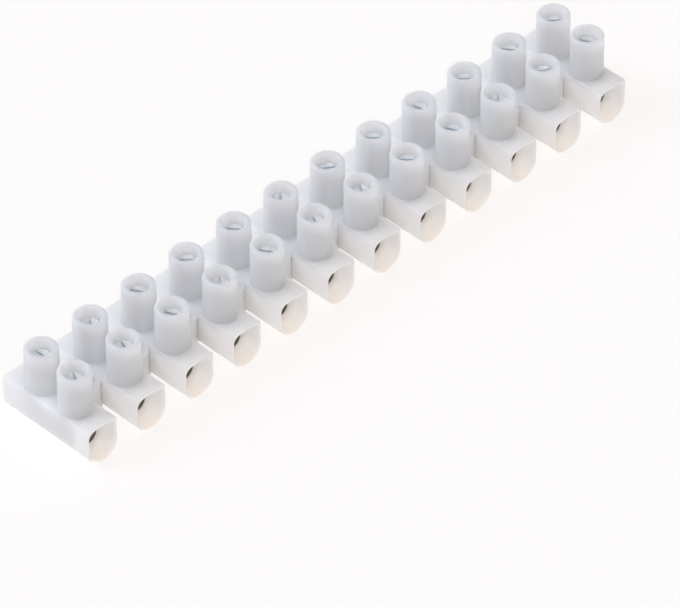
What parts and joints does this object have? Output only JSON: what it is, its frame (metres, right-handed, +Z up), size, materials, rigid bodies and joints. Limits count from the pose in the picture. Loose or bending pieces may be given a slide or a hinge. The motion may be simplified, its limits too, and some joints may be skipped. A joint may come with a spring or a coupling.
{
  "type": "barrier terminal strip",
  "caption": "White moulded terminal strip with brass clamp tubes in a row, each with two slotted clamp screws down in round towers and a fixing eye between poles.",
  "frame": {"origin": "middle of the strip in X and Y, on the plane that it stands on", "axes": "+X along the row of poles, +Y from the wire entries at the front to those at the rear, +Z up out of the screw towers"},
  "size_m": [0.1158, 0.0186, 0.0145],
  "materials": {
    "moulding": "soft translucent white polyamide, satin",
    "brass": "plain turned tube",
    "zinc": "bluish zinc plate"
  },
  "bodies": {
    "strip": {"housing": "moulding", "clamp_tube_1": "brass", "clamp_tube_2": "brass", "clamp_tube_3": "brass", "clamp_tube_4": "brass", "clamp_tube_5": "brass", "clamp_tube_6": "brass", "clamp_tube_7": "brass", "clamp_tube_8": "brass", "clamp_tube_9": "brass", "clamp_tube_10": "brass", "clamp_tube_11": "brass", "clamp_tube_12": "brass"},
    "front_screw_1_body": {"front_screw_1": "zinc"},
    "front_screw_2_body": {"front_screw_2": "zinc"},
    "front_screw_3_body": {"front_screw_3": "zinc"},
    "front_screw_4_body": {"front_screw_4": "zinc"},
    "front_screw_5_body": {"front_screw_5": "zinc"},
    "front_screw_6_body": {"front_screw_6": "zinc"},
    "front_screw_7_body": {"front_screw_7": "zinc"},
    "front_screw_8_body": {"front_screw_8": "zinc"},
    "front_screw_9_body": {"front_screw_9": "zinc"},
    "front_screw_10_body": {"front_screw_10": "zinc"},
    "front_screw_11_body": {"front_screw_11": "zinc"},
    "front_screw_12_body": {"front_screw_12": "zinc"},
    "rear_screw_1_body": {"rear_screw_1": "zinc"},
    "rear_screw_2_body": {"rear_screw_2": "zinc"},
    "rear_screw_3_body": {"rear_screw_3": "zinc"},
    "rear_screw_4_body": {"rear_screw_4": "zinc"},
    "rear_screw_5_body": {"rear_screw_5": "zinc"},
    "rear_screw_6_body": {"rear_screw_6": "zinc"},
    "rear_screw_7_body": {"rear_screw_7": "zinc"},
    "rear_screw_8_body": {"rear_screw_8": "zinc"},
    "rear_screw_9_body": {"rear_screw_9": "zinc"},
    "rear_screw_10_body": {"rear_screw_10": "zinc"},
    "rear_screw_11_body": {"rear_screw_11": "zinc"},
    "rear_screw_12_body": {"rear_screw_12": "zinc"}
  },
  "joints": [
    {"name": "front_screw_1_travel", "type": "slide", "parent": "strip", "child": "front_screw_1_body", "axis": [0, 0, 1], "range_m": [-0.003, 0]},
    {"name": "front_screw_2_travel", "type": "slide", "parent": "strip", "child": "front_screw_2_body", "axis": [0, 0, 1], "range_m": [-0.003, 0]},
    {"name": "front_screw_3_travel", "type": "slide", "parent": "strip", "child": "front_screw_3_body", "axis": [0, 0, 1], "range_m": [-0.003, 0]},
    {"name": "front_screw_4_travel", "type": "slide", "parent": "strip", "child": "front_screw_4_body", "axis": [0, 0, 1], "range_m": [-0.003, 0]},
    {"name": "front_screw_5_travel", "type": "slide", "parent": "strip", "child": "front_screw_5_body", "axis": [0, 0, 1], "range_m": [-0.003, 0]},
    {"name": "front_screw_6_travel", "type": "slide", "parent": "strip", "child": "front_screw_6_body", "axis": [0, 0, 1], "range_m": [-0.003, 0]},
    {"name": "front_screw_7_travel", "type": "slide", "parent": "strip", "child": "front_screw_7_body", "axis": [0, 0, 1], "range_m": [-0.003, 0]},
    {"name": "front_screw_8_travel", "type": "slide", "parent": "strip", "child": "front_screw_8_body", "axis": [0, 0, 1], "range_m": [-0.003, 0]},
    {"name": "front_screw_9_travel", "type": "slide", "parent": "strip", "child": "front_screw_9_body", "axis": [0, 0, 1], "range_m": [-0.003, 0]},
    {"name": "front_screw_10_travel", "type": "slide", "parent": "strip", "child": "front_screw_10_body", "axis": [0, 0, 1], "range_m": [-0.003, 0]},
    {"name": "front_screw_11_travel", "type": "slide", "parent": "strip", "child": "front_screw_11_body", "axis": [0, 0, 1], "range_m": [-0.003, 0]},
    {"name": "front_screw_12_travel", "type": "slide", "parent": "strip", "child": "front_screw_12_body", "axis": [0, 0, 1], "range_m": [-0.003, 0]},
    {"name": "rear_screw_1_travel", "type": "slide", "parent": "strip", "child": "rear_screw_1_body", "axis": [0, 0, 1], "range_m": [-0.003, 0]},
    {"name": "rear_screw_2_travel", "type": "slide", "parent": "strip", "child": "rear_screw_2_body", "axis": [0, 0, 1], "range_m": [-0.003, 0]},
    {"name": "rear_screw_3_travel", "type": "slide", "parent": "strip", "child": "rear_screw_3_body", "axis": [0, 0, 1], "range_m": [-0.003, 0]},
    {"name": "rear_screw_4_travel", "type": "slide", "parent": "strip", "child": "rear_screw_4_body", "axis": [0, 0, 1], "range_m": [-0.003, 0]},
    {"name": "rear_screw_5_travel", "type": "slide", "parent": "strip", "child": "rear_screw_5_body", "axis": [0, 0, 1], "range_m": [-0.003, 0]},
    {"name": "rear_screw_6_travel", "type": "slide", "parent": "strip", "child": "rear_screw_6_body", "axis": [0, 0, 1], "range_m": [-0.003, 0]},
    {"name": "rear_screw_7_travel", "type": "slide", "parent": "strip", "child": "rear_screw_7_body", "axis": [0, 0, 1], "range_m": [-0.003, 0]},
    {"name": "rear_screw_8_travel", "type": "slide", "parent": "strip", "child": "rear_screw_8_body", "axis": [0, 0, 1], "range_m": [-0.003, 0]},
    {"name": "rear_screw_9_travel", "type": "slide", "parent": "strip", "child": "rear_screw_9_body", "axis": [0, 0, 1], "range_m": [-0.003, 0]},
    {"name": "rear_screw_10_travel", "type": "slide", "parent": "strip", "child": "rear_screw_10_body", "axis": [0, 0, 1], "range_m": [-0.003, 0]},
    {"name": "rear_screw_11_travel", "type": "slide", "parent": "strip", "child": "rear_screw_11_body", "axis": [0, 0, 1], "range_m": [-0.003, 0]},
    {"name": "rear_screw_12_travel", "type": "slide", "parent": "strip", "child": "rear_screw_12_body", "axis": [0, 0, 1], "range_m": [-0.003, 0]}
  ]
}
